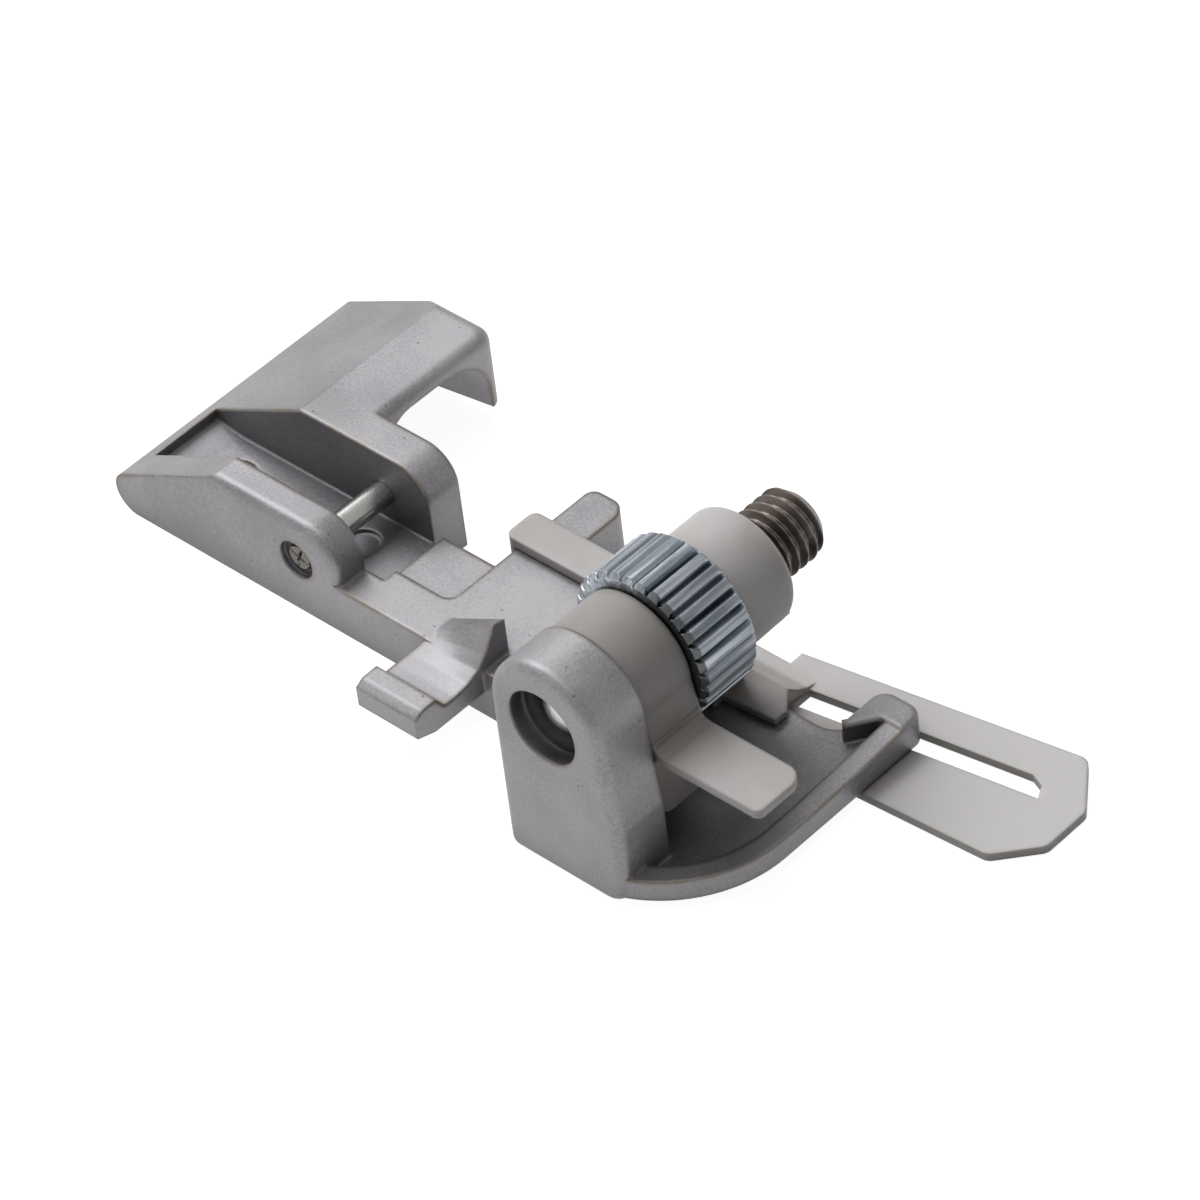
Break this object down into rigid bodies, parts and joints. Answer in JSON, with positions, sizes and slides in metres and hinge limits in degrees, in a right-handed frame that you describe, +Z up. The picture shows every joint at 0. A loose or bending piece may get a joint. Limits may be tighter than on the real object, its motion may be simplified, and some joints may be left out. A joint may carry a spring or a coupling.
{
  "type": "sewing machine presser foot",
  "caption": "Clip-in presser foot with an open ankle channel, a side hood, a threaded stud with a knurled nut and a sliding nylon edge guide.",
  "frame": {"origin": "on the sole plane, under the snap pin's axis, on the middle plane of the ankle channel", "axes": "+X to the toe, +Y towards the stud's free end, +Z up from the sole"},
  "size_m": [0.0671, 0.0282, 0.0172],
  "materials": {
    "casting": "satin",
    "pin": "polished",
    "stud": "dull",
    "nut": "zinc plated",
    "nylon": "satin"
  },
  "bodies": {
    "foot": {"body_casting": "casting", "snap_pin": "pin", "stud": "stud"},
    "edge_guide": {"guide": "nylon"},
    "nut": {"thumb_nut": "nut"}
  },
  "joints": [
    {"name": "guide_slide", "type": "slide", "parent": "foot", "child": "edge_guide", "axis": [0, 1, 0], "range_m": [0, 0.004]},
    {"name": "nut_turn", "type": "hinge", "parent": "edge_guide", "child": "nut", "pos_m": [0.0286, -0.0015, 0.012], "axis": [0, 1, 0], "range_deg": [0, 1800]}
  ],
  "couplings": [
    {"joint": "nut_turn", "follows": "guide_slide", "rad_per_m": 7853.9}
  ]
}
